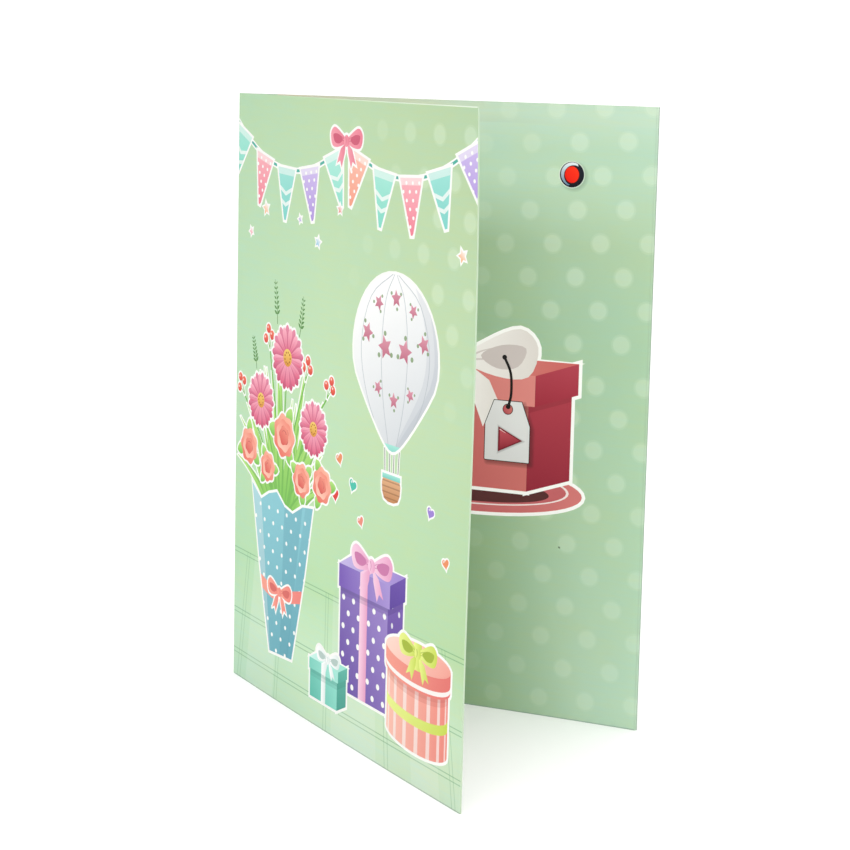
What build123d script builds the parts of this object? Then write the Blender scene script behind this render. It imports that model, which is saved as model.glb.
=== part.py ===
from build123d import *
from math import degrees, radians, tan
import os

# Recordable greeting card, standing open on its bottom edges.
# One printed sheet makes the front cover, the back cover and a flap that is folded in at the
# fore edge and glued down over the back cover. The sealed sound module lies between the two.
# Frame: +Z up, the covers open towards -Y, the front cover on the -X side.
# The origin is the foot of the spine fold, in the middle of the sheet's thickness.

# The sheet, in millimetres and degrees
card_width = 127.0
card_height = 177.8
sheet_thickness = 0.5
opening_angle = 36.4
front_bow = 0.7
back_bow = 1.6
spine_inner_radius = 0.35
glue_gap = 0.3
flap_setback = 6.0

# The two push points and the sound hole. Every "inset" runs along the cover from its fore
# edge, and every "drop" runs down from its top edge
play_inset = 41.3
play_drop = 96.0
record_inset = 24.5
record_drop = 19.7
sound_hole_inset = 24.4
sound_hole_drop = 127.1
sound_hole_diameter = 0.6

# The module's board reaches from the upper push point to the microphone
board_width = 36.0
board_inset = 32.0
board_thickness = 0.8
board_corner_radius = 3.0
board_end_margin = 2.0
switch_diameter = 9.0
switch_rise = 0.25

# What stands on the board's back in one column, upwards from the microphone
microphone_diameter = 6.0
microphone_rise = 1.2
microphone_port_diameter = 1.2
speaker_diameter = 27.0
speaker_rise = 1.6
cell_diameter = 11.6
cell_rise = 1.6
cell_count = 3
chip_diameter = 9.0
chip_rise = 1.0
can_gap = 2.0
rim_chamfer = 0.3

# The pocket that the back cover forms over the module
module_clearance = 0.1
pocket_side_clearance = 1.0
pocket_slope = 30.0
pocket_corner_radius = 4.0
pocket_foot_lap = 0.05

# Each cover bows outwards along an arc, given by its width and its rise
front_bow_radius = card_width**2 / (8 * front_bow)
back_bow_radius = card_width**2 / (8 * back_bow)
front_bow_angle = degrees(card_width / front_bow_radius)
back_bow_angle = degrees(card_width / back_bow_radius)

# The folds, on the middle line of the sheet
spine_radius = spine_inner_radius + sheet_thickness / 2
fore_edge_radius = (glue_gap + sheet_thickness) / 2
front_turn = 90 - (opening_angle + front_bow_angle) / 2
back_turn = 90 - (opening_angle + back_bow_angle) / 2
flap_bow_radius = back_bow_radius - 2 * fore_edge_radius
flap_bow_angle = degrees((card_width - flap_setback) / flap_bow_radius)

# The sheet seen from above, as the middle line of its thickness
with BuildLine() as front_path:
    front_half_fold = JernArc((0, 0), (-1, 0), spine_radius, front_turn)
    front_cover = JernArc(front_half_fold @ 1, front_half_fold % 1, front_bow_radius, front_bow_angle)

with BuildLine() as back_path:
    back_half_fold = JernArc((0, 0), (1, 0), spine_radius, -back_turn)
    back_cover = JernArc(back_half_fold @ 1, back_half_fold % 1, back_bow_radius, -back_bow_angle)

with BuildLine() as flap_path:
    fore_edge_fold = JernArc(back_cover @ 1, back_cover % 1, fore_edge_radius, -180)
    flap = JernArc(fore_edge_fold @ 1, fore_edge_fold % 1, flap_bow_radius, flap_bow_angle)

# The board's ends, and what stands between them
board_top_drop = record_drop - switch_diameter / 2 - board_end_margin
board_foot_drop = sound_hole_drop + microphone_diameter / 2 + board_end_margin
board_height = board_foot_drop - board_top_drop
board_drop = (board_foot_drop + board_top_drop) / 2
speaker_drop = sound_hole_drop - microphone_diameter / 2 - can_gap - speaker_diameter / 2
first_cell_drop = speaker_drop - speaker_diameter / 2 - can_gap - cell_diameter / 2
cell_drops = [first_cell_drop - (cell_diameter + can_gap) * cell for cell in range(cell_count)]
chip_drop = cell_drops[-1] - cell_diameter / 2 - can_gap - chip_diameter / 2

# The module lies on a plane on the back cover that faces out of the card, with local Y up
# and local X towards the spine
board_share = 1 - board_inset / card_width
along_cover = back_cover % board_share
cover_foot = back_cover @ board_share
module_plane = Plane(
    origin=(cover_foot.X, cover_foot.Y, card_height - board_drop),
    x_dir=(-along_cover.X, -along_cover.Y, 0),
    z_dir=(-along_cover.Y, along_cover.X, 0),
)
module_axis = Axis(module_plane.origin, module_plane.z_dir)


def on_board(inset, drop):
    """Place on the module's plane of a point of the cover."""
    return (inset - board_inset, board_drop - drop)


# Levels across the closed pocket, outwards from the middle of the back cover's sheet
flap_back = -(sheet_thickness / 2 + glue_gap)
board_front = flap_back + module_clearance + switch_rise
board_back = board_front + board_thickness
pocket_ceiling = (
    board_back + max(speaker_rise, cell_rise, chip_rise, microphone_rise) + module_clearance
)
pocket_top = pocket_ceiling + sheet_thickness

# The pocket's outside starts inside the bowed sheet, so it meets the sheet all round
wall_offset = sheet_thickness * tan(radians(pocket_slope / 2))
pocket_half_width = (
    board_width / 2 + pocket_side_clearance + wall_offset + pocket_top / tan(radians(pocket_slope))
)
bow_fall = pocket_half_width**2 / (2 * back_bow_radius)
pocket_foot = sheet_thickness / 2 - pocket_foot_lap - bow_fall


def pocket_form(foot, top, margin, mode):
    """Raised panel with sloping sides over the board, from one level to another."""
    spread = (top - foot) / tan(radians(pocket_slope))
    sections = []
    for height, growth in ((foot, margin + spread), (top, margin)):
        with BuildSketch(module_plane.offset(height)) as section:
            RectangleRounded(
                board_width + 2 * growth,
                board_height + 2 * growth,
                pocket_corner_radius + growth,
            )
        sections.append(section.sketch.face())
    loft(sections, ruled=True, mode=mode)


with BuildPart() as folded_card:
    # Front cover, spine fold and back cover
    with BuildSketch():
        trace([front_path.line], line_width=sheet_thickness)
        trace([back_path.line], line_width=sheet_thickness)
    extrude(amount=card_height)

    # Pocket over the module; the flap's own space is cleared before the flap is laid in
    pocket_form(pocket_foot, pocket_top, pocket_side_clearance + wall_offset, Mode.ADD)
    with BuildSketch():
        trace([flap], line_width=sheet_thickness + 2 * glue_gap)
    extrude(amount=card_height, mode=Mode.SUBTRACT)
    pocket_form(flap_back, pocket_ceiling, pocket_side_clearance, Mode.SUBTRACT)

    # Flap, folded in at the fore edge, with the pinhole in front of the microphone
    with BuildSketch():
        trace([flap_path.line], line_width=sheet_thickness)
    extrude(amount=card_height)
    with BuildSketch(module_plane.offset(flap_back + glue_gap / 2)):
        with Locations(on_board(sound_hole_inset, sound_hole_drop)):
            Circle(sound_hole_diameter / 2)
    extrude(amount=-(sheet_thickness + glue_gap), mode=Mode.SUBTRACT)
folded_card.part.label = "folded_card"


def round_parts(diameter, rise, places):
    """Round cans with chamfered rims on the back of the board."""
    with BuildSketch(module_plane.offset(board_back)) as cans:
        with Locations(*places):
            Circle(diameter / 2)
    extrude(cans.sketch, amount=rise)
    rims = edges(Select.LAST).filter_by(GeomType.CIRCLE).group_by(module_axis)[-1]
    chamfer(rims, rim_chamfer)


with BuildPart() as sound_module:
    with BuildSketch(module_plane.offset(board_front)):
        RectangleRounded(board_width, board_height, board_corner_radius)
    extrude(amount=board_thickness)

    # Microphone, speaker, a column of cells and the chip
    microphone_place = on_board(sound_hole_inset, sound_hole_drop)
    round_parts(microphone_diameter, microphone_rise, [microphone_place])
    round_parts(speaker_diameter, speaker_rise, [on_board(board_inset, speaker_drop)])
    round_parts(cell_diameter, cell_rise, [on_board(board_inset, drop) for drop in cell_drops])
    round_parts(chip_diameter, chip_rise, [on_board(board_inset, chip_drop)])

    # Switches under the two push points, and the port in front of the microphone
    with BuildSketch(module_plane.offset(board_front)):
        with Locations(on_board(play_inset, play_drop), on_board(record_inset, record_drop)):
            Circle(switch_diameter / 2)
    extrude(amount=-switch_rise)
    with BuildSketch(module_plane.offset(board_front)):
        with Locations(microphone_place):
            Circle(microphone_port_diameter / 2)
    extrude(amount=board_thickness, mode=Mode.SUBTRACT)
sound_module.part.label = "sound_module"

os.makedirs("parts", exist_ok=True)
export_step(folded_card.part, "parts/folded_card.step")
export_step(sound_module.part, "parts/sound_module.step")
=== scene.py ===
import math
import random
import bmesh
import bpy
import numpy
from mathutils import Matrix, Vector, geometry


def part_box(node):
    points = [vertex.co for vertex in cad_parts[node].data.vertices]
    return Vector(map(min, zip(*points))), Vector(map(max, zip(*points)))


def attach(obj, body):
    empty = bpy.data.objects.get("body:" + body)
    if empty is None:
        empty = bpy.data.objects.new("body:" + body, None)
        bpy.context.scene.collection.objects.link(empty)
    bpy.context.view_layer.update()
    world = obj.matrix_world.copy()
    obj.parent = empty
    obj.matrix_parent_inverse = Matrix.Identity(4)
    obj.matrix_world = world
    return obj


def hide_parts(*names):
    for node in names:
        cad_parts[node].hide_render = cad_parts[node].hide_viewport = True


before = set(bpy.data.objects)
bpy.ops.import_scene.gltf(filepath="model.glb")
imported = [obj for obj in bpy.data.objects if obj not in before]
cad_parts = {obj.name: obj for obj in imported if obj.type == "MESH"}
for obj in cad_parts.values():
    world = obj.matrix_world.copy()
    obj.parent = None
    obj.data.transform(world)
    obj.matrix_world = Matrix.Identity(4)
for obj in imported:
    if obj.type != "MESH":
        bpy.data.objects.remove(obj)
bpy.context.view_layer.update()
cardLow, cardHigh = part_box("folded_card")
mm = 0.001


# small helpers for node trees

def setInputs(tree, node, inputs):
    for key, value in inputs.items():
        if isinstance(value, bpy.types.NodeSocket):
            tree.links.new(value, node.inputs[key])
        else:
            node.inputs[key].default_value = value


def addNode(tree, kind, inputs=None, **settings):
    node = tree.nodes.new(kind)
    for name, value in settings.items():
        setattr(node, name, value)
    setInputs(tree, node, inputs or {})
    return node


def calc(tree, operation, *values):
    return addNode(tree, "ShaderNodeMath", dict(enumerate(values)), operation=operation).outputs[0]


def vectorCalc(tree, operation, *values):
    return addNode(tree, "ShaderNodeVectorMath", dict(enumerate(values)), operation=operation).outputs[0]


def addGroup(tree, group, inputs):  # one of the node groups below, in a shader or geometry tree
    kind = {"ShaderNodeTree": "ShaderNodeGroup", "GeometryNodeTree": "GeometryNodeGroup"}[tree.bl_idname]
    return addNode(tree, kind, inputs, node_tree=group)


def sockets(kind, *names):
    return [(name, f"NodeSocket{kind}") for name in names]


def newGroup(name, kind, inputs, outputs):
    tree = bpy.data.node_groups.new(name, kind)
    for direction, entries in (("INPUT", inputs), ("OUTPUT", outputs)):
        for label, socketType, *value in entries:
            socket = tree.interface.new_socket(label, in_out=direction, socket_type=socketType)
            if value:
                socket.default_value = value[0]
    return tree, tree.nodes.new("NodeGroupInput").outputs, tree.nodes.new("NodeGroupOutput").inputs


# the folded sheet: sizes in millimetres and degrees, as on the unfolded sheet

sheet = {
    "coverWidth": 127.0,
    "thickness": 0.5,
    "openingAngle": 36.4,
    "frontBow": 0.7,
    "backBow": 1.6,
    "spineRadius": 0.6,
    "foreEdgeRadius": 0.4,
    "flapWidth": 121.0,
    "frontWarp": 1.9,  # the front cover's free edge leans in by up to half of this, above its middle
    "columnsPerCover": 30,
    "columnsPerFold": 8,
    "rows": 18,
    "mergeDistance": 1e-5,
    "smoothAngle": 40,
    "warpPowers": (1.5, 2.0),  # of the share up the cover and of the share along it
}
sides = ("printed", "plain", "cut")
height = (cardHigh[2] - cardLow[2]) / mm

pocket = {
    "fromSpine": 95.0,
    "level": 105.15,
    "halfWidth": 23.55,
    "halfHeight": 65.0,
    "corner": 9.55,
    "slopeRun": 4.42,
    "rise": 2.55,
    "cornerSteps": 8,
    "rings": (0, 0.15, 0.5, 0.85, 1),  # shares of the slope
}

frontArc = math.degrees(8 * sheet["frontBow"] / sheet["coverWidth"])
backArc = math.degrees(8 * sheet["backBow"] / sheet["coverWidth"])
backRadius = sheet["coverWidth"] ** 2 / (8 * sheet["backBow"])
flapArc = math.degrees(sheet["flapWidth"] / (backRadius - 2 * sheet["foreEdgeRadius"]))
frontFold = 90 - (sheet["openingAngle"] + frontArc) / 2
backFold = 90 - (sheet["openingAngle"] + backArc) / 2

# where each stretch of the unfolded sheet ends, outwards from the spine's middle
frontFoldEnd = sheet["spineRadius"] * math.radians(frontFold)
frontEnd = frontFoldEnd + sheet["coverWidth"]
backFoldEnd = sheet["spineRadius"] * math.radians(backFold)
backEnd = backFoldEnd + sheet["coverWidth"]
foreEdgeEnd = backEnd + math.pi * sheet["foreEdgeRadius"]
flapEnd = foreEdgeEnd + sheet["flapWidth"]


# printed colours are fields on the unfolded sheet: outlines with a colour, a blend or a tint

paperWhite = "f7f7f3"
fields = []
page = {"left": 0.0, "ground": None}


def linear(code):
    levels = [int(code[i:i + 2], 16) / 255 for i in (0, 2, 4)]
    return [v / 12.92 if v <= 0.04045 else ((v + 0.055) / 1.055) ** 2.4 for v in levels]


def draw(points, fill, tint=1.0, within=None, hole=False, wash=0.0):
    ring = numpy.array(points) + (page["left"], 0)
    first, last, angle = fill if isinstance(fill, tuple) else (fill, fill, 0)
    way = numpy.array((math.cos(math.radians(angle)), math.sin(math.radians(angle))))
    reach = ring @ way
    owners = [owner for owner in (page["ground"], within) if owner is not None]
    fields.append({"ring": ring, "first": numpy.array((*linear(first), wash)),
                   "last": numpy.array((*linear(last), wash)), "way": way, "low": reach.min(),
                   "span": numpy.ptp(reach), "owners": owners, "hole": hole,
                   "tint": tint if isinstance(tint, tuple) else (tint, tint)})
    return len(fields) - 1


def inside(ring, spots):  # spots that the outline winds round
    ahead = numpy.roll(ring, -1, axis=0)
    edge = (ahead - ring)[:, None]
    toSpot = spots - ring[:, None]
    side = edge[..., 0] * toSpot[..., 1] - edge[..., 1] * toSpot[..., 0]
    above = ring[:, None, 1] > spots[:, 1]
    aheadAbove = ahead[:, None, 1] > spots[:, 1]
    rising = (~above & aheadAbove & (side > 0)).sum(axis=0)
    falling = (above & ~aheadAbove & (side < 0)).sum(axis=0)
    return rising != falling


def inkCorners(corners):  # colour and wash at each triangle's corners, and which triangles are sheet
    middles = corners.mean(axis=1)
    ink = numpy.zeros((len(corners), 3, 4))
    kept = numpy.zeros(len(corners), dtype=bool)
    for field in fields:
        ring = field["ring"]
        within = (middles > ring.min(axis=0)) & (middles < ring.max(axis=0))
        near = numpy.flatnonzero(within.all(axis=1))
        near = near[inside(ring, middles[near])]
        for owner in field["owners"]:
            near = near[inside(fields[owner]["ring"], middles[near])]
        share = numpy.clip((corners[near] @ field["way"] - field["low"]) / field["span"], 0, 1)[..., None]
        colour = field["first"] * (1 - share) + field["last"] * share
        tint = field["tint"][0] * (1 - share) + field["tint"][1] * share
        ink[near] += (colour - ink[near]) * tint
        kept[near] = not field["hole"]
    return ink, kept


# outlines

def at(points, x, y, size=1.0, turn=0.0):
    c = math.cos(math.radians(turn)) * size
    s = math.sin(math.radians(turn)) * size
    return [(x + c * u - s * v, y + s * u + c * v) for u, v in points]


def arc(radius, start, end, steps, squash=1.0):
    angles = [math.radians(start + (end - start) * i / steps) for i in range(steps + 1)]
    return [(radius * math.cos(a), radius * squash * math.sin(a)) for a in angles]


def disc(x, y, across, up=None, turn=0, steps=26):
    return at(arc(across, 0, 360, steps, (up or across) / across)[:-1], x, y, 1, turn)


def slab(left, low, right, high):
    return [(left, low), (right, low), (right, high), (left, high)]


def spline(a, b, c, d, t):
    return 0.5 * (2 * b + (c - a) * t + (2 * a - 5 * b + 4 * c - d) * t ** 2
                  + (3 * b - a - 3 * c + d) * t ** 3)


def smooth(points, steps=4):
    points = [Vector(p) for p in points]
    count = len(points)
    return [spline(*(points[(i + k) % count] for k in (-1, 0, 1, 2)), s / steps)[:]
            for i in range(count) for s in range(steps)]


def stroke(points, width, tip=None, steps=4):
    points = [Vector(p) for p in points]
    points = [2 * points[0] - points[1], *points, 2 * points[-1] - points[-2]]
    line = [spline(*points[i:i + 4], s / steps) for i in range(len(points) - 3) for s in range(steps)]
    line.append(points[-2])
    tip = width if tip is None else tip
    left, right = [], []
    for i, p in enumerate(line):
        ahead = (line[min(i + 1, len(line) - 1)] - line[max(i - 1, 0)]).normalized()
        reach = Vector((-ahead.y, ahead.x)) * (width + (tip - width) * i / (len(line) - 1)) / 2
        left.append((p + reach)[:])
        right.append((p - reach)[:])
    return left + right[::-1]


outlining = {
    "sharpTurn": 0.2,       # below this two edges nearly double back
    "longestCorner": 0.55,  # keeps a grown corner from shooting out
    "dotRows": 0.75,        # two rows of dots are this share of the pitch apart
    "starInner": 0.48,
    "shadowRings": 4,
}


def grow(points, distance):
    points = [Vector(p) for p in points]
    ahead = points[1:] + points[:1]
    side = 1 if sum(a.cross(b) for a, b in zip(points, ahead)) > 0 else -1
    grown = []
    for before, here, after in zip(points[-1:] + points[:-1], points, ahead):
        first = (here - before).normalized()
        normals = [Vector((way.y, -way.x)) * side for way in (first, (after - here).normalized())]
        normal = sum(normals, Vector((0, 0)))
        normal = (normal if normal.length > outlining["sharpTurn"] else normals[0]).normalized()
        grown.append((here + normal * distance / max(normal.dot(normals[0]), outlining["longestCorner"]))[:])
    return grown


# a motif is a list of shapes in its own millimetres; a clipped shape stays on the last unclipped one

def shape(points, fill, tint=1.0, clipped=False):
    return points, fill, tint, clipped


def clip(points, fill, tint=1.0):
    return points, fill, tint, True


def moved(motif, x, y, size=1.0, turn=0.0):
    return [(at(points, x, y, size, turn), *look) for points, *look in motif]


def paste(motif, x=0.0, y=0.0, turn=0.0, outline=0.8):
    placed = moved(motif, x, y, 1, turn)
    if outline:
        for points, _, tint, clipped in placed:
            if tint == 1 and not clipped:
                draw(grow(points, outline), paperWhite)
    carrier = None
    for points, fill, tint, clipped in placed:
        drawn = draw(points, fill, tint, carrier if clipped else None)
        carrier = carrier if clipped else drawn


def dotsOn(left, low, right, high, pitch, radius):
    motif = []
    rise = pitch * outlining["dotRows"]
    for row in range(int((high - low) / rise) + 1):
        for column in range(int((right - left) / pitch) + 1):
            x = left + pitch * (column + 0.5 * (row % 2))
            motif.append(clip(disc(x, low + rise * row, radius, steps=12), paperWhite))
    return motif


def mirrored(points, side):
    return [(side * x, y) for x, y in points]


ribbonBow = {
    "drawnWidth": 20,
    "loop": ((0, 0), (3.2, 2.6), (7.6, 4.4), (10, 2.2), (8.8, -1.6), (4.4, -1.8)),
    "inner": ((2.4, 0.7), (5.2, 2.2), (8.4, 2.0), (7.4, -0.4), (4.6, -0.8)),
    "tail": ((0.6, -0.4), (3.6, -2.4), (6.0, -7.2), (3.9, -6.2), (2.9, -8.4), (1.0, -3.6)),
    "creases": (0.2, 1.2),
    "creaseWidth": (0.35, 0.05),
    "knot": (0, 0.2, 1.7, 1.9),
    "knotFold": ((-0.6, 1.4), (-0.2, 0.2), (-0.6, -1.1)),
    "knotFoldWidth": (0.4, 0.2),
    "foldTint": 0.8,
}


def bow(width, fill, shade):
    loop, inner = (smooth(ribbonBow[key]) for key in ("loop", "inner"))
    foldTint = ribbonBow["foldTint"]
    motif = [shape(mirrored(ribbonBow["tail"], side), fill) for side in (-1, 1)]
    for side in (-1, 1):
        motif.append(shape(mirrored(loop, side), fill))
        motif.append(clip(mirrored(inner, side), shade))
        for lift in ribbonBow["creases"]:
            crease = mirrored(((0.8, lift * 0.3), (2.4, lift), (4.6, lift * 1.6)), side)
            motif.append(clip(stroke(crease, *ribbonBow["creaseWidth"]), shade, foldTint))
    motif.append(shape(disc(*ribbonBow["knot"], steps=16), fill))
    motif.append(clip(stroke(ribbonBow["knotFold"], *ribbonBow["knotFoldWidth"]), shade, foldTint))
    return moved(motif, 0, 0, width / ribbonBow["drawnWidth"])


# flowers, in a dotted cone of wrapping paper

flowers = {
    "petals": 13,
    "petalOutline": ((0, 0.1), (-0.09, 0.5), (-0.13, 0.84), (0, 1.0), (0.13, 0.84), (0.09, 0.5)),
    "petalCrease": ((0, 0.2), (0, 0.5), (0, 0.86)),
    "creaseWidth": (0.035, 0.012),
    "frontPetals": 0.93,  # beside the petals behind
    "petal": ("d9557a", "f7b3c4", 90),
    "backPetal": ("c4466c", "e58aa4", 90),
    "middle": ("d98e2e", "f3cf6a", 90),
    "middleSize": 0.27,
    "pollen": "a8621c",
    "pollenGrains": 9,
    "pollenSize": 0.035,
    "pollenRing": 0.17,
    "roseRings": ((4.6, 7, ("e9705f", "f8b49c", 60)), (3.4, 6, ("f08a76", "fbc7b2", 240)),
                  (2.1, 5, ("d9564f", "f0907c", 60))),  # radius, lobes and fill
    "rosePoints": 42,
    "roseWave": 0.07,
    "roseFold": "b83f41",
    "roseFolds": ((3.5, 20), (3.4, 190), (2.2, 100), (2.1, 280), (1.1, 10)),  # radius and start
    "foldSweep": 130,
    "foldWidth": (0.32, 0.08),
    "roseLeaf": ((0, 3.0), (-1.6, 4.9), (0, 7.2), (1.6, 4.9)),
    "roseLeafTurns": (70, 200, 320),
    "berry": ("d8382f", "f07a5e", 90),
    "berryPlaces": ((-2.6, 4.2), (2.4, 5.0), (0.1, 7.6)),
    "berryRadius": 1.75,
    "berryGleam": (-0.55, 0.6, 0.45),  # place and radius
    "leaf": ("6fbc48", "b5e37c", 90),
    "leafShade": "4f9f3c",
    "leafSteps": 10,
    "leafBelly": 0.75,  # below 1 the widest place moves down
    "leafTip": 0.12,
    "veinShift": 0.12,  # share of the width
    "stem": "74b851",
    "sprig": "5b8f4a",
    "sprigTwig": ((0, 0), (0.42, 0.8), (0, 1.9), (-0.42, 0.8)),
    "sprigTwigs": 9,  # levels, the two lowest without twigs
    "sprigTurn": 52,
}


def daisy(radius):
    petal = smooth(at(flowers["petalOutline"], 0, 0, radius), 3)
    crease = at(stroke(flowers["petalCrease"], *flowers["creaseWidth"], 2), 0, 0, radius)
    near = flowers["frontPetals"]
    count = flowers["petals"]
    turn = 360 / count
    motif = [shape(at(petal, 0, 0, 1, turn * (k + 0.5)), flowers["backPetal"]) for k in range(count)]
    for k in range(count):
        motif.append(shape(at(petal, 0, 0, near, turn * k), flowers["petal"]))
        motif.append(clip(at(crease, 0, 0, near, turn * k), flowers["backPetal"], 0.6))
    motif.append(shape(disc(0, 0, radius * flowers["middleSize"], steps=16), flowers["middle"]))
    grain = disc(0, radius * flowers["pollenRing"], radius * flowers["pollenSize"], steps=7)
    turn = 360 / flowers["pollenGrains"]
    for k in range(flowers["pollenGrains"]):
        motif.append(shape(at(grain, 0, 0, 1, turn * k), flowers["pollen"]))
    return motif


def rose(size):
    leafOutline = smooth(flowers["roseLeaf"], 3)
    motif = [shape(at(leafOutline, 0, 0, 1, turn), flowers["leaf"]) for turn in flowers["roseLeafTurns"]]
    turns = [2 * math.pi * i / flowers["rosePoints"] for i in range(flowers["rosePoints"])]
    for radius, lobes, fill in flowers["roseRings"]:
        reach = [radius * (1 + flowers["roseWave"] * math.cos(lobes * a)) for a in turns]
        motif.append(shape([(r * math.sin(a), r * math.cos(a)) for a, r in zip(turns, reach)], fill))
    for radius, start in flowers["roseFolds"]:
        fold = arc(radius, start, start + flowers["foldSweep"], 6)
        motif.append(clip(stroke(fold, *flowers["foldWidth"], 2), flowers["roseFold"], 0.55))
    return moved(motif, 0, 0, size)


def berries(size):
    motif = []
    u, v, gleam = flowers["berryGleam"]
    for x, y in flowers["berryPlaces"]:
        motif.append(shape(stroke([(0, 0), (x * 0.4, y * 0.6), (x, y)], 0.45, 0.3), flowers["stem"]))
        motif.append(shape(disc(x, y, flowers["berryRadius"], steps=16), flowers["berry"]))
        motif.append(clip(disc(x + u, y + v, gleam, steps=8), paperWhite, 0.7))
    return moved(motif, 0, 0, size)


def leaf(length, width, bend):
    steps, belly, tip = flowers["leafSteps"], flowers["leafBelly"], flowers["leafTip"]
    middle = [(bend * (i / steps) ** 2, length * i / steps) for i in range(steps + 1)]
    reach = [width / 2 * math.sin(math.pi * (i / steps) ** belly) + tip for i in range(steps + 1)]
    left = [(x - r, y) for (x, y), r in zip(middle, reach)]
    right = [(x + r, y) for (x, y), r in zip(middle, reach)]
    vein = [(x + flowers["veinShift"] * width, y) for x, y in middle]
    return [shape(left + right[::-1], flowers["leaf"]),
            clip(vein + right[::-1], flowers["leafShade"], 0.5)]


def sprig(length):
    motif = [shape(stroke([(0, 0), (0.6, length * 0.5), (0, length)], 0.35, 0.15), flowers["sprig"])]
    twig = smooth(flowers["sprigTwig"], 3)
    for number in range(2, flowers["sprigTwigs"]):
        level = length * number / flowers["sprigTwigs"]
        for side in (-1, 1):
            placed = at(twig, side * 0.15 + 0.3, level, 1.15 - 0.07 * number, -side * flowers["sprigTurn"])
            motif.append(shape(placed, flowers["sprig"]))
    return motif


bouquet = {
    "x": 30.5,
    "neck": 57.0,
    "leaves": 40,
    "longest": 50.0,
    "outerShorter": 0.45,
    "lengths": (0.6, 1.0),
    "widths": (1.4, 2.9),
    "bends": (4, 12),
    "sway": 6,
    "footSpread": 7.0,
    "spread": 31,
    "seed": 5,
    "daisies": ((-14.0, 31, 8.4, 8), (2.5, 46, 9.6, -12), (18.5, 28, 8.0, 20)),
    "roses": ((-21.5, 16, 1.15, 38), (1.0, 23, 1.35, 12), (12.0, 12, 1.05, -12), (24.0, 13, 1.1, -44),
              (-9.0, 12, 0.95, 70)),
    "berries": ((-25.0, 31, 0.75, 30), (-8.5, 47, 0.8, 10), (13.5, 41, 0.8, -12), (26.0, 38, 0.75, -24)),
    "sprigs": ((-4.0, 55, 13, 8), (9.5, 53, 12, -10), (-17.0, 40, 10, 16)),
    "paper": ("8ccad3", "66a9b8", -75),
    "cone": ((-19, 5.5), (-13, 1.6), (-8, 4.2), (-3, 5.6), (2, 2.2), (7, 1.2), (13, 4.4), (19, 5.2),
             (14.5, -16), (7.5, -42), (-6.5, -43), (-13.5, -18)),
    "paperFold": "4e93a6",
    "folds": ((((2, 3), (13, 5), (5, -43), (0, -43)), 0.32),
              (((15, 6), (20, 6), (8, -43), (4, -43)), 0.22)),  # outline and tint
    "sheen": ((-19, 7), (-13, 2), (-6, -43), (-10, -43)),
    "dots": (-19, -42, 20, 4, 5.6, 0.62),  # left, low, right, high, pitch, radius
    "band": ((-14.5, -22.5), (-2, -25.2), (13.5, -22.0)),
    "bandWidth": 3.6,
    "bow": (15, -0.5, -24),  # width and place
    "ribbon": ("f5a08c", "ee7f77", 0),
    "ribbonShade": "d9665f",
}


def bouquetLeaves():
    chance = random.Random(bouquet["seed"])
    sway = bouquet["sway"]
    motif = []
    for i in range(bouquet["leaves"]):
        lean = -1 + 2 * (i + 0.5) / bouquet["leaves"]
        length = bouquet["longest"] * (1 - bouquet["outerShorter"] * lean * lean)
        length *= chance.uniform(*bouquet["lengths"])
        blade = leaf(length, chance.uniform(*bouquet["widths"]), lean * chance.uniform(*bouquet["bends"]))
        turn = -bouquet["spread"] * lean + chance.uniform(-sway, sway)
        motif += moved(blade, bouquet["footSpread"] * lean, 0, 1, turn)
    return motif


def wrapPaper():
    motif = [shape(bouquet["cone"], bouquet["paper"])]
    motif += [clip(outline, bouquet["paperFold"], tint) for outline, tint in bouquet["folds"]]
    motif.append(clip(bouquet["sheen"], paperWhite, 0.22))
    motif += dotsOn(*bouquet["dots"])
    motif.append(clip(stroke(bouquet["band"], bouquet["bandWidth"]), bouquet["ribbon"]))
    return motif


def pasteBouquet():
    x, neck = bouquet["x"], bouquet["neck"]
    paste(bouquetLeaves(), x, neck - 2, outline=0.55)
    for u, v, *_ in bouquet["roses"] + bouquet["berries"] + bouquet["daisies"]:
        stalk = stroke([(u * 0.12, 0), (u * 0.45, v * 0.55), (u, v)], 0.9, 0.6)
        paste([shape(stalk, flowers["stem"])], x, neck, outline=0)
    for kind, build, outline in (("sprigs", sprig, 0), ("berries", berries, 0.5), ("roses", rose, 0.6),
                                 ("daisies", daisy, 0.7)):
        for u, v, size, lean in bouquet[kind]:
            paste(build(size), x + u, neck + v, lean, outline=outline)
    paste(wrapPaper(), x, neck)
    width, u, v = bouquet["bow"]
    paste(bow(width, bouquet["ribbon"], bouquet["ribbonShade"]), x + u, neck + v, outline=0.6)


# presents

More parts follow.
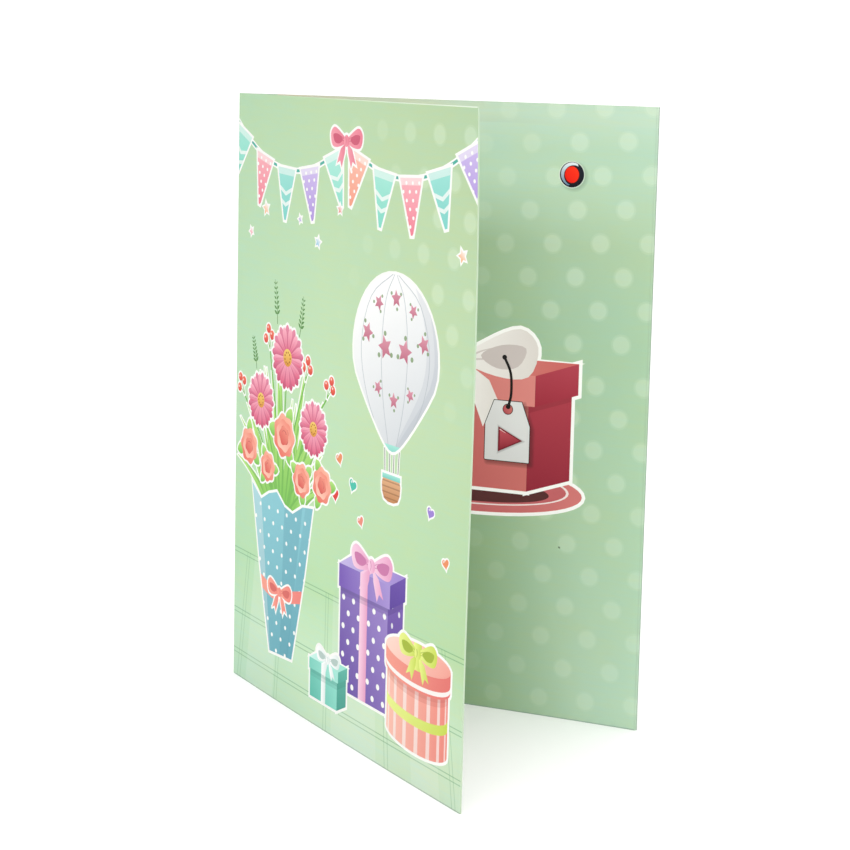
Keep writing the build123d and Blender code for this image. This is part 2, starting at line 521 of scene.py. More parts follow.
presents = {
    "tall": {"x": 66.0, "y": 15.0, "width": 25.0, "height": 29.0, "depth": 7.5, "rise": 4.0, "lid": 6.5,
             "front": ("5f3f9e", "9a83c6", 35), "side": ("4a2f85", "7659ad", 90),
             "lidFront": ("7150b0", "a893d2", 20), "lidSide": ("563a96", "6a4ca8", 90),
             "top": ("c3b4e2", "9a82cc", 0), "ribbon": ("f6cfe2", "e59cc2", 0), "ribbonShade": "c976a6",
             "shade": "3b236f", "dots": 5.4},
    "flat": {"x": 49.5, "y": 8.0, "width": 15.5, "height": 8.0, "depth": 5.0, "rise": 2.6, "lid": 3.2,
             "front": ("56b9a8", "93decd", 30), "side": ("3f9a8a", "57ad9c", 90),
             "lidFront": ("78cdbc", "a9e8da", 20), "lidSide": ("4aa596", "62b7a6", 90),
             "top": ("cdf3ea", "97dfcf", 0), "ribbon": ("ffffff", "dfe9e6", 0), "ribbonShade": "b3c7c1",
             "shade": "2f8476", "dots": 0},
    "round": {"x": 106.0, "y": 12.5, "radius": 14.5, "height": 17.0, "lid": 5.5, "squash": 0.24,
              "body": ("f8bfae", "e98478", 0), "lidFill": ("f39c8c", "e0706a", 0),
              "top": ("fad6c8", "efa092", -40), "shade": "b9504e", "ribbon": ("e8f08c", "c6d750", 0),
              "ribbonShade": "a3b636"},
}


boxDrawing = {
    "lidProud": 0.035,  # shares of the width
    "ribbonEdges": (0.42, 0.58),
    "bowWidth": 0.85,
    "firstDot": (1.8, 2.2),
    "dotRadius": 0.85,
    "sideDots": ((0.3, 3.4), (0.75, 7.2)),  # share of the depth and level of the first
    "sideDot": (0.5, 0.8),
    "sideDotTint": 0.75,
    "lidShade": ((1.0, 2.0), 0.22),  # depths under the lid, and tint
    "sideShade": (2, 0.3),
    "lidGleam": (0.25, 0.5),
    "drumSteps": 18,
    "roundLid": 1.06,  # shares of the radius
    "roundBow": 1.25,
    "stripes": (0.4, 0.9, 0.55),  # radians from one to the next, half width, tint
    "roundShade": ((1.2, 2.4), 0.22),
    "lidBand": (0.12, 0.34, 0.9),
    "topRibbon": (1.9, 5),
}


def squareBox(box):
    width, tall, depth, rise, lid = (box[key] for key in ("width", "height", "depth", "rise", "lid"))
    proud = width * boxDrawing["lidProud"]
    left, right = (width * share for share in boxDrawing["ribbonEdges"])
    top = tall + lid

    def side(x, low, high):
        return [(x, low), (x + depth, low + rise), (x + depth, high + rise), (x, high)]

    def above(start, end):
        return [(start, top), (end, top), (end + depth, top + rise), (start + depth, top + rise)]

    motif = [shape(slab(0, 0, width, tall), box["front"])]
    if box["dots"]:
        motif += dotsOn(*boxDrawing["firstDot"], width, tall, box["dots"], boxDrawing["dotRadius"])
    motif.append(clip(slab(left, 0, right, tall), box["ribbon"]))
    drops, tint = boxDrawing["lidShade"]
    motif += [clip(slab(0, tall - drop, width, tall), box["shade"], tint) for drop in drops]
    motif.append(shape(side(width, 0, tall), box["side"]))
    if box["dots"]:
        for row in range(int(tall / box["dots"]) + 1):
            for share, low in boxDrawing["sideDots"]:
                spot = disc(width + depth * share, low + row * box["dots"], *boxDrawing["sideDot"], steps=12)
                motif.append(clip(spot, paperWhite, boxDrawing["sideDotTint"]))
    drop, tint = boxDrawing["sideShade"]
    motif.append(clip(side(width, tall - drop, tall), box["shade"], tint))
    motif.append(shape(slab(-proud, tall, width + proud, top), box["lidFront"]))
    motif.append(clip(slab(left, tall, right, top), box["ribbon"]))
    motif.append(shape(side(width + proud, tall, top), box["lidSide"]))
    motif.append(shape(above(-proud, width + proud), box["top"]))
    motif.append(clip(above(left, right), box["ribbon"]))
    drop, tint = boxDrawing["lidGleam"]
    motif.append(clip(slab(-proud, top - drop, width + proud, top), paperWhite, tint))
    ribbon = bow(width * boxDrawing["bowWidth"], box["ribbon"], box["ribbonShade"])
    return motif + moved(ribbon, (width + depth) / 2, top + rise * 0.7)


def roundBox(box):
    radius, tall, top = box["radius"], box["height"], box["height"] + box["lid"]
    wide, lid = radius * boxDrawing["roundLid"], box["lid"]

    def front(reach, low):
        return at(arc(reach, 180, 360, boxDrawing["drumSteps"], box["squash"]), 0, low)

    def drum(reach, low, high):
        return [*front(reach, low), (reach, high), (-reach, high)]

    def hoop(reach, low, high):
        under = front(reach, low)
        return under + [(x, y + high - low) for x, y in reversed(under)]

    motif = [shape(drum(radius, 0, tall), box["body"])]
    turn, half, tint = boxDrawing["stripes"]
    for stripe in range(-3, 4):
        middle = radius * math.sin(stripe * turn)
        reach = half * math.cos(stripe * turn)
        motif.append(clip(slab(middle - reach, -radius, middle + reach, tall + 2), paperWhite, tint))
    low, high = (tall * share for share in boxDrawing["ribbonEdges"])
    motif.append(clip(hoop(radius, low, high), box["ribbon"]))
    drops, tint = boxDrawing["roundShade"]
    motif += [clip(hoop(radius, tall - drop, tall), box["shade"], tint) for drop in drops]
    motif.append(shape(drum(wide, tall, top), box["lidFill"]))
    low, high, tint = boxDrawing["lidBand"]
    motif.append(clip(hoop(wide, tall + lid * low, tall + lid * high), paperWhite, tint))
    motif.append(shape(disc(0, top, wide, wide * box["squash"], steps=36), box["top"]))
    half, reach = boxDrawing["topRibbon"]
    motif.append(clip(slab(-half, top - reach, half, top + reach), box["ribbon"]))
    ribbon = bow(radius * boxDrawing["roundBow"], box["ribbon"], box["ribbonShade"])
    return motif + moved(ribbon, 0, top + 0.8)


# hot-air balloon with small stars

balloon = {
    "x": 91.0,
    "y": 112.0,
    "radius": 20.5,
    "gores": 5,
    "envelope": ("d3d7da", "fbfbf9", 118),
    "seam": "b4bbc0",
    "shade": "9aa3b0",
    "star": ("b9627a", "dd9aaa", 90),
    "spark": "7f9a6a",
    "basket": ("c08453", "e3b389", 90),
    "weave": "85522d",
    "skirt": ("74cabb", "a6e3d6", 90),
    "rope": "8c8f86",
    "stars": ((-13.5, 4.5, 1.5), (-4.6, 1.6, 1.8), (5.0, 1.6, 1.8), (13.8, 4.6, 1.4), (-8.0, 13.0, 1.2),
              (0.4, 15.0, 1.3), (8.6, 12.6, 1.1), (-7.6, -9.6, 1.1), (0.2, -12.0, 1.2), (8.0, -9.4, 1.0)),
    "sparks": ((-1.7, 1.1), (1.8, 0.9), (0.2, -2.1)),
    "sparkSize": 0.4,
    "starSize": 1.9,
    "starTurn": 12,  # degrees for each millimetre from the middle
    "mouth": 1.27,  # share of the radius under its middle
    "ropes": (-1, -0.3, 0.3, 1),
    "ropeWidth": 0.4,
    "basketOutline": ((-3.9, 0), (3.9, 0), (3.4, -6), (-3.4, -6)),
    "basketDrop": 6.5,
    "weaveRows": (4, 1.5),  # count and pitch
    "basketHem": (-4.4, -0.6, 4.4, 0.7),
    "shadeLeans": (0.0, 0.17),
    "shadeTint": 0.22,
    "seamWidth": 0.3,
    "seamOutline": ((0.05, 1.05), (0.72, 0.7), (1.0, 0.05), (0.8, -0.6), (0.24, -1.25)),
    "taper": (0.25, 0.72, 1.1, 1.04, 0.28),  # its start under the middle, narrowing, power, height, drop
}


def balloonOutline(radius):
    start, narrowing, power, tall, drop = balloon["taper"]
    points = []
    for x, y in arc(1, 90, 450, 40)[:-1]:
        pull = max(-y - start, 0)
        points.append((radius * x * (1 - narrowing * pull ** power), radius * (y * tall - drop * pull)))
    return points


def star(radius):
    reaches = [radius * (outlining["starInner"] if i % 2 else 1) for i in range(10)]
    return [(reach * math.sin(math.pi * i / 5), reach * math.cos(math.pi * i / 5))
            for i, reach in enumerate(reaches)]


def starSpray(size):
    sparks = [disc(x, y, balloon["sparkSize"], steps=8) for x, y in balloon["sparks"]]
    motif = [shape(spark, balloon["spark"], 0.9) for spark in sparks]
    motif.append(shape(star(balloon["starSize"]), balloon["star"]))
    return moved(motif, 0, 0, size)


def pasteBalloon():
    x, y, radius = balloon["x"], balloon["y"], balloon["radius"]
    mouth = -radius * balloon["mouth"]
    ropes = [stroke([(side * 3.6, mouth + 1), (side * 3.1, mouth - 7)], balloon["ropeWidth"])
             for side in balloon["ropes"]]
    paste([shape(rope, balloon["rope"]) for rope in ropes], x, y, outline=0.35)
    basket = [shape(smooth(balloon["basketOutline"], 3), balloon["basket"])]
    rows, pitch = balloon["weaveRows"]
    for row in range(rows):
        basket.append(clip(slab(-5, -1.4 - row * pitch, 5, -1.0 - row * pitch), balloon["weave"], 0.5))
    basket.append(shape(slab(*balloon["basketHem"]), balloon["skirt"]))
    paste(basket, x, y + mouth - balloon["basketDrop"], outline=0.7)
    motif = [shape(balloonOutline(radius), balloon["envelope"])]
    for lean in balloon["shadeLeans"]:
        side = smooth([(0.4 + lean, 1.1), (1.2, 0.3), (0.5, -1.2), (0, -1.3), (0.66 + lean, -0.3),
                       (0.7 + lean, 0.4)], 5)
        motif.append(clip(at(side, 0, 0, radius), balloon["shade"], balloon["shadeTint"]))
    for gore in range(1, balloon["gores"]):
        share = math.sin(math.pi * (gore / balloon["gores"] - 0.5))
        seam = at([(share * u, v) for u, v in balloon["seamOutline"]], 0, 0, radius)
        motif.append(clip(stroke(seam, balloon["seamWidth"]), balloon["seam"], 0.8))
    motif.append(clip(slab(-radius, mouth - 1, radius, mouth + 2.2), balloon["skirt"]))
    paste(motif, x, y, outline=0.8)
    for u, v, size in balloon["stars"]:
        paste(starSpray(size), x + u, y + v, balloon["starTurn"] * u, outline=0)


# bunting in two swags, with stars under it and hearts lower down

bunting = {
    "swags": (((-3.0, 171.5), (65.0, 166.5), 12.0), ((65.0, 166.5), (130.0, 171.5), 10.5)),
    "flagsPerSwag": 5,
    "flagWidth": 10.4,
    "flagDrop": 14.5,
    "cord": "4fae9e",
    "hem": 0.45,
    "flags": (("82d6c2", "a9e6d6", 90), ("ec7f92", "f6b3bb", 90), ("7fd0c6", "9fe0d4", 90),
              ("ae95d8", "cfbdea", 90), ("8fdcc8", "b4ebdd", 90), ("f09a82", "f8c3b0", 90)),
    "bow": ("f2a0ad", "e87f93", 0),
    "bowShade": "cf5f78",
    "stars": ((18.5, 145.0, 2.0, 10, "f0a04b"), (50.0, 138.0, 1.6, -12, "6fb6d8"),
              (121.0, 141.0, 1.9, 20, "f0a04b"), (62.0, 148.0, 1.4, 0, "e2503a"),
              (9.0, 137.5, 1.3, 25, "e87f93"), (39.5, 143.5, 1.1, 18, "8f74c6")),
    "hearts": ((64.0, 79.5, 1.7, 20, "e98f5f"), (71.5, 73.5, 1.9, -16, "45bfa8"),
               (62.0, 69.0, 1.9, 8, "dc3a35"), (76.0, 64.5, 1.5, 24, "ea8a76"),
               (110.0, 74.0, 1.6, -20, "9a7fd0"), (117.5, 62.5, 1.5, 14, "e98f5f")),
    "cordWidth": 0.8,
    "cordSteps": 12,
    "flagTip": 0.1,  # share of the flag's half width
    "flagLean": 0.7,  # share of the cord's slope
    "flagDots": (3.0, 0.5),
    "flagHem": (-1.6, 0.4),
    "zigzags": (0.28, 0.5),  # shares of the flag's drop, like the next two
    "zigzagRise": 0.16,
    "zigzagWidth": 0.08,
    "bowWidth": 17,
    "heartSteps": 24,
}


def flag(number):
    half, drop = bunting["flagWidth"] / 2, bunting["flagDrop"]
    tip = half * bunting["flagTip"]
    motif = [shape([(-half, 0.3), (half, 0.3), (tip, -drop), (-tip, -drop)],
                   bunting["flags"][number % len(bunting["flags"])])]
    if number % 2:
        motif += dotsOn(-half, -drop, half, 0, *bunting["flagDots"])
    else:
        zigzag = [(-half, 0), (0, -bunting["zigzagRise"] * drop), (half, 0)]
        for level in bunting["zigzags"]:
            under = at(zigzag, 0, -drop * (level + bunting["zigzagWidth"]))
            motif.append(clip(at(zigzag, 0, -drop * level) + under[::-1], paperWhite, 0.75))
    low, high = bunting["flagHem"]
    motif.append(clip(slab(-half, low, half, high), paperWhite, bunting["hem"]))
    return motif


def swagPoint(swag, share):
    (x0, y0), (x1, y1), sag = swag
    return Vector((x0 + (x1 - x0) * share, y0 + (y1 - y0) * share - 4 * sag * share * (1 - share)))


def pasteBunting():
    count, steps = bunting["flagsPerSwag"], bunting["cordSteps"]
    for number, swag in enumerate(bunting["swags"]):
        line = [swagPoint(swag, i / steps)[:] for i in range(steps + 1)]
        paste([shape(stroke(line, bunting["cordWidth"], steps=2), bunting["cord"])], outline=0.5)
        for place in range(count):
            share = (place + 0.5) / count
            along = swagPoint(swag, share + 0.02) - swagPoint(swag, share - 0.02)
            turn = math.degrees(math.atan2(along.y, along.x)) * bunting["flagLean"]
            paste(flag(place + number * count), *swagPoint(swag, share), turn)
    ribbon = bow(bunting["bowWidth"], bunting["bow"], bunting["bowShade"])
    paste(ribbon, *bunting["swags"][0][1], outline=0.7)


def heart(size):
    angles = [2 * math.pi * i / bunting["heartSteps"] for i in range(bunting["heartSteps"])]
    return [(size * math.sin(a) ** 3,
             size * (13 * math.cos(a) - 5 * math.cos(2 * a) - 2 * math.cos(3 * a) - math.cos(4 * a)) / 16)
            for a in angles]


def pasteConfetti():
    for x, y, radius, turn, colour in bunting["stars"]:
        paste([shape(star(radius), (colour, paperWhite, 60))], x, y, turn, outline=0.5)
    for x, y, size, turn, colour in bunting["hearts"]:
        gleam = disc(-size * 0.45, size * 0.4, size * 0.3, size * 0.2, 40, 10)
        paste([shape(heart(size), colour), clip(gleam, paperWhite, 0.6)], x, y, turn, outline=0.45)


# the grounds, with plaid at the cover's foot and polka dots

ground = {
    "bare": "c0deb6",
    "insideFront": "f4f4ee",
    "front": ((0, "cfe7cc"), (19, "cde9c7"), (40.3, "bbdead"), (95, "c3dfb5"), (178, "bcd7ac")),
    # overlays on the front: darker and bluer towards the spine, most at its foot; the black one is painted
    # shade, darker towards the free edge
    "frontShades": ((0, 0, 0, 90, "9ad0b8", (0.25, 0.0)), (0, 0, 60, 40, "8fbf9a", (0.3, 0.0)),
                    (55, 0, 0, 72, "000000", (0.0, 0.09))),
    # the flap's ground grows lighter towards the top: partly its print, partly painted light where its open
    # top catches more light
    "flap": ((0, "c2e1c4"), (50, "bbdcb8"), (110, "b4d7b3"), (136, "bad9b4"), (150, "bcdab7"),
             (178, "d4edd5")),
    # painted shade and painted light on the flap: the first four darken it towards the spine and the foot,
    # where the front cover shades it; the black one darkens it all, most towards the spine; the rest lighten
    # its top and warm its top near the spine
    "flapShadeAndLight": ((0, 0, 5, 62, "6f9d46", 0.42), (61.8, 5.4, 5, 50, "6f9d46", (0.42, 0.0)),
                   (0, 0, 15, 60, "5f8f3e", 0.39), (58, 15.5, 15, 46, "5f8f3e", (0.39, 0.0)),
                   (0, 0, 0, 130, "000000", (0.42, 0.15)), (0, 138, 90, 20, "b7d5b9", (0.0, 1.0)),
                   (0, 158, 90, 14, "b7d5b9", 1.0), (0, 165, 90, 10, "c2dcc3", (0.0, 1.0)),
                   (0, 175, 90, 10, "c2dcc3", 1.0), (15, 185, -25, 65, "e5dcc4", (0.9, 0.0))),
    "foot": ("82908b", 0.55, 0.35),  # ink, tint and width of the painted shade along the foot, where the sheet meets the floor
    "topEdgeHighlight": ("f2faec", 0.9, 0.24, 25),  # the same of the painted highlight along the top edge, and where it starts
    "foldRimShades": (("7f9080", 0.16, -0.1, 0.4), ("7f9080", 0.62, 0.4, 1.7)),  # ink, tint, from and to of painted shade over the fore-edge fold
    "rows": (40.2, 38.9, 21.4, 20.1, 8.6, 7.3),
    "columns": (9.0, 10.6, 31.0, 32.4, 58.0, 59.4, 88.0, 89.6, 117.0, 118.4),
    "lean": 0.12,
    "line": 0.3,
    "lineInk": ("68a873", 0.6),
    "columnTint": 0.7,  # share of the rows' tint
    "glow": ((14, 30), (62, 84), (100, 112)),
    "glowTint": 0.12,
    "dot": ("e9f7e2", 0.24),
    "dotDiameter": 5.5,
    "dotRim": ((0.3, 0.4), (-0.3, 0.65)),  # growth and share of the tint of its two layers
    "frontDots": {"first": 124.0, "pitch": 13.5, "columns": 6, "rise": 0.0,
                  "tiles": ((7.4, 9.5, -1, 1), (9.1, 9.6, 1, 9))},  # drop of row 0, pitch, first row, end
    "flapDots": {"first": 119.1, "pitch": 14.2, "columns": 9, "rise": 0.05,
                 "tiles": ((10.4, 9.5, -1, 7), (70.15, 9.24, 1, 12))},
    "riseFrom": 108.0,
    "frontFade": ((60, 112), (92, 125), (3, 6)),  # along, up and down from the top edge
    "flapFade": ((60, 105), (20, 150), 0.55),  # along, up, and the share left at the foot
    "bleed": 1,  # how far the bands run past the page
    "flapBleed": 2,  # how far the flap's page runs past the fore edge
}


# a shade is a place, a direction, a length, an ink and its tint, or its tints at the start and the end

def startPage(spineLine, low, high, bands, shades):  # x then runs from the spine on this page
    bleed = ground["bleed"]
    page["left"] = spineLine
    page["ground"] = None
    page["ground"] = draw(slab(low, 0, high, height), ground["bare"], wash=1.0)
    for (bottom, bottomInk), (top, topInk) in zip(bands, bands[1:]):
        draw(slab(low - bleed, bottom, high + bleed, top), (bottomInk, topInk, 90), wash=1.0)
    for x, y, turn, length, ink, tint in shades:
        draw(at(slab(0, -height, length, height), x, y, 1, turn), (ink, ink, turn), tint, wash=1.0)


def polkaDots(layout, strength):
    colour, tint = ground["dot"]
    for top, pitch, firstRow, end in layout["tiles"]:
        for row in range(firstRow, end):
            for column in range(-1, layout["columns"]):
                x = layout["first"] + layout["pitch"] * (0.5 * (row % 2) - column)
                y = height - top - pitch * row + layout["rise"] * (x - ground["riseFrom"])
                seen = strength(x, y)
                for growth, share in ground["dotRim"] if seen > 0 else ():
                    dot = disc(x, y, ground["dotDiameter"] / 2 + growth, steps=20)
                    draw(dot, colour, tint * share * seen)


def upTo(value, start, end):
    return min(max((value - start) / (end - start), 0), 1)


def plaid():
    width, half = sheet["coverWidth"], ground["line"] / 2
    colour, tint = ground["lineInk"]
    cloth = ground["front"][2][0]

    def fan(x):
        return x + (x - width / 2) * ground["lean"]

    for level in ground["rows"]:
        draw(slab(0, level - half, width, level + half), colour, tint)
    for x in ground["columns"]:
        foot = fan(x)
        column = [(foot - half, 0), (foot + half, 0), (x + half, cloth), (x - half, cloth)]
        draw(column, colour, tint * ground["columnTint"])
    for left, right in ground["glow"]:
        draw([(fan(left), 0), (fan(right), 0), (right, cloth), (left, cloth)], paperWhite, ground["glowTint"])


def frontDotStrength(x, y):
    along, up, down = ground["frontFade"]
    return upTo(x, *along) * upTo(y, *up) * upTo(height - y, *down)


def flapDotStrength(x, y):
    along, up, least = ground["flapFade"]
    return upTo(x, *along) * (least + (1 - least) * upTo(y, *up))


# painted shade: a grey strip along the foot, where the sheet meets the floor
def paintFootShade():
    ink, tint, rise = ground["foot"]
    draw(slab(0, 0, sheet["coverWidth"], rise), ink, tint)


def paintFront():
    startPage(frontFoldEnd, 0, sheet["coverWidth"], ground["front"], ground["frontShades"])
    plaid()
    polkaDots(ground["frontDots"], frontDotStrength)
    pasteBunting()
    pasteBalloon()
    pasteConfetti()
    pasteBouquet()
    for name, build in (("tall", squareBox), ("round", roundBox), ("flat", squareBox)):
        paste(build(presents[name]), presents[name]["x"], presents[name]["y"])
    paintFootShade()
    # painted highlight along the front's top edge, stronger towards the free edge
    ink, tint, drop, start = ground["topEdgeHighlight"]
    draw(slab(start, height - drop, sheet["coverWidth"], height), ink, (0.0, tint))


# the flap's print: a red present with a swing tag, the record dot and the sound hole

redBox = {"x": 38.0, "y": 66.0, "width": 54.0, "height": 25.0, "depth": 13.0, "rise": 4.5, "lid": 9.0,
          "front": ("b04a52", "cc736c", 20), "side": ("8f2636", "ab3c49", 90),
          "lidFront": ("c35a58", "d98780", 10), "lidSide": ("9b2b3b", "b04250", 90),
          "top": ("e09a92", "c9645f", 0), "ribbon": ("f3f0ec", "dcd6d0", 0), "ribbonShade": "c8beba",
          "shade": "6d1c28", "dots": 0}

mat = {
    "rings": ((37, 7.4, 0, ("b04c54", "cf7673", 0), 1.0), (33, 6.0, 0.7, paperWhite, 0.75),
              (32.2, 5.6, 0.7, "bf6164", 1.0), (27, 3.8, -0.6, "1e1512", 0.85)),  # radii, lift, fill, tint
    "x": 72.0,
    "y": 66.0,
}

tag = {
    "x": 85.7,
    "y": 83.2,
    "width": 13.6,
    "height": 17.6,
    "corner": 0.25,
    "shoulder": (2.6, 7.0),
    "face": ("d3d4d3", "dfe0df", 60),
    "rim": "161112",
    "rimWidth": 0.22,
    "string": ((-1.4, 21.5), (0.6, 17), (0.9, 11), (0.1, 7.2)),
    "stringWidth": 0.8,
    "hole": 1.4,
    "eyelet": 1.15,  # shares of the hole, like the next
    "holeDrop": 1.7,
    "knot": 0.75,
    "play": (-0.1, -2.5),
    "playSize": 4.1,
    "playFill": ("8c2633", "c4525c", 100),
    "playRim": "74212c",
    "playRimWidth": 0.12,
    "playFace": (0.05, 0.86),  # shift and share
    "triangle": ((-0.62, -0.86), (1.12, 0), (-0.62, 0.86)),
    "playGleam": ((-2.2, 2.9), (-1.5, 2.5), (-0.4, 1.9)),
    "shadow": "241c1c",
    "labelShadow": (0.7, -0.7, 0.9, 0.16),  # shift, spread and tint
    "playShadow": (0.15, -0.1, 0.6, 0.14),
}

recordDot = {
    "x": 102.9,
    "y": 158.1,
    "radius": 3.6,
    "ring": ("080a14", "1a1f2c", 80),
    "gleam": ("5f7f9c", "e6eef0", 80),
    "halo": (1.08, 0.4),
    "gleamArc": (62, 250),
    "gleamShift": ((0.08, 0.1), (0.5, -0.2)),  # of its outer and inner circle
    "gleamReach": (0.93, 0.8),  # shares of the radius, like the next two
    "redRimSize": (0.63, 0.69),
    "redSize": (0.58, 0.64),
    "red": ("ea1807", "ff3212", 45),
    "redRim": "5e0f0c",
    "shadow": "4c7556",
    "dotShadow": (0.6, -0.5, 0.8, 0.1),
}

soundHole = {"x": 102.6, "y": 50.7, "diameter": 0.6}


def roundedFrame(halfWidth, halfHeight, corner, steps=4):
    quarters = ((1, 1, 0), (-1, 1, 90), (-1, -1, 180), (1, -1, 270))
    return [point for sx, sy, start in quarters
            for point in at(arc(corner, start, start + 90, steps), sx * (halfWidth - corner),
                            sy * (halfHeight - corner))]


def softShadow(points, x, y, cast, colour):
    u, v, spread, tint = cast
    last = outlining["shadowRings"] - 1
    for ring in range(last + 1):
        draw(at(grow(points, spread * (1 - ring / last)), x + u, y + v), colour, tint)


def pasteTag():
    x, y, tall = tag["x"], tag["y"], tag["height"]
    half, corner = tag["width"] / 2, tag["corner"]
    across, down = tag["shoulder"]
    label = [*at(arc(corner, 180, 270, 3), corner - half, corner - tall / 2),
             *at(arc(corner, 270, 360, 3), half - corner, corner - tall / 2),
             (half, tall / 2 - down), (half - across, tall / 2),
             (across - half, tall / 2), (-half, tall / 2 - down)]
    softShadow(label, x, y, tag["labelShadow"], tag["shadow"])
    draw(at(grow(label, tag["rimWidth"]), x, y), tag["rim"])
    draw(at(label, x, y), tag["face"])
    for radius, fill in ((tag["hole"] * tag["eyelet"], tag["rim"]), (tag["hole"], redBox["front"])):
        draw(disc(x, y + tall / 2 - tag["holeDrop"] * tag["hole"], radius, steps=20), fill)
    draw(stroke(at(tag["string"], x, y), tag["stringWidth"]), tag["rim"])
    for u, v in (tag["string"][0], tag["string"][-1]):
        draw(disc(x + u, y + v, tag["knot"], steps=10), tag["rim"])
    x, y = x + tag["play"][0], y + tag["play"][1]
    triangle = at(tag["triangle"], 0, 0, tag["playSize"])
    softShadow(triangle, x, y, tag["playShadow"], tag["shadow"])
    draw(at(grow(triangle, tag["playRimWidth"]), x, y), tag["playRim"])
    shift, size = tag["playFace"]
    draw(at(triangle, x + shift, y, size), tag["playFill"])
    draw(at(stroke(tag["playGleam"], 0.35, 0.1), x, y), paperWhite, 0.6)


def pasteRecordDot():
    x, y, radius = recordDot["x"], recordDot["y"], recordDot["radius"]
    softShadow(disc(0, 0, radius), x, y, recordDot["dotShadow"], recordDot["shadow"])
    growth, tint = recordDot["halo"]
    draw(disc(x, y, radius * growth, steps=36), paperWhite, tint)
    draw(disc(x, y, radius, steps=36), recordDot["ring"])
    outer, inner = (at(arc(radius * share, *recordDot["gleamArc"], 20), *shift)
                    for share, shift in zip(recordDot["gleamReach"], recordDot["gleamShift"]))
    draw(at(outer + inner[::-1], x, y), recordDot["gleam"])
    for size, fill in (("redRimSize", "redRim"), ("redSize", "red")):
        across, up = (radius * share for share in recordDot[size])
        draw(disc(x, y, across, up, steps=32), recordDot[fill])


def paintFlap():
    width = sheet["coverWidth"]
    # the flap's ground, with its painted shade and painted light
    startPage(-(width + foreEdgeEnd), width - sheet["flapWidth"], width + ground["flapBleed"], ground["flap"],
              ground["flapShadeAndLight"])
    polkaDots(ground["flapDots"], flapDotStrength)
    rings = [shape(disc(0, lift, across, up, steps=48), fill, tint, number > 0)
             for number, (across, up, lift, fill, tint) in enumerate(mat["rings"])]
    paste(rings, mat["x"], mat["y"], outline=1.0)
    paste(squareBox(redBox), redBox["x"], redBox["y"], outline=1.0)
    pasteTag()
    pasteRecordDot()
    draw(disc(soundHole["x"], soundHole["y"], soundHole["diameter"] / 2, steps=16), paperWhite, hole=True)
    # painted shade over the fore-edge fold: faint on its near side, darker round it
    for ink, tint, start, end in ground["foldRimShades"]:
        draw(slab(width + start, 0, width + end, height), ink, tint)
    paintFootShade()


draw(slab(-flapEnd, 0, frontEnd, height), ground["bare"], wash=1.0)
paintFront()
paintFlap()
print("print laid out,", len(fields), "fields")


# the flat sheet as a closed mesh: the printed side is cut along every outline, the inner side is plain

def triangulate(lines):
    points, edges = [], []
    for line, closed in lines:
        start = len(points)
        points.extend(Vector(p) for p in line)
        edges.extend((start + i, start + i + 1) for i in range(len(line) - 1))
        if closed:
            edges.append((len(points) - 1, start))
    places, _, triangles, *_ = geometry.delaunay_2d_cdt(points, edges, [], 0, sheet["mergeDistance"], False)
    return numpy.array(places), numpy.array(triangles)


def foldLines():  # what the sheet needs to bend smoothly and to take the pocket
    stretches = ((-flapEnd, -foreEdgeEnd, "columnsPerCover"), (-foreEdgeEnd, -backEnd, "columnsPerFold"),
                 (-backEnd, -backFoldEnd, "columnsPerCover"), (-backFoldEnd, 0, "columnsPerFold"),
                 (0, frontFoldEnd, "columnsPerFold"), (frontFoldEnd, frontEnd, "columnsPerCover"))
    lines = [(slab(-flapEnd, 0, frontEnd, height), True)]
    for start, end, count in stretches:
        for x in numpy.linspace(start, end, sheet[count], endpoint=False):
            lines.append((((x, 0), (x, height)), False))
    for y in numpy.linspace(0, height, sheet["rows"], endpoint=False):
        lines.append((((-flapEnd, y), (frontEnd, y)), False))
    for share in pocket["rings"]:
        inset = pocket["slopeRun"] * share
        ring = roundedFrame(*(pocket[key] - inset for key in ("halfWidth", "halfHeight", "corner")),
                            pocket["cornerSteps"])
        lines.append((at(ring, -(backFoldEnd + pocket["fromSpine"]), pocket["level"]), True))
    return lines


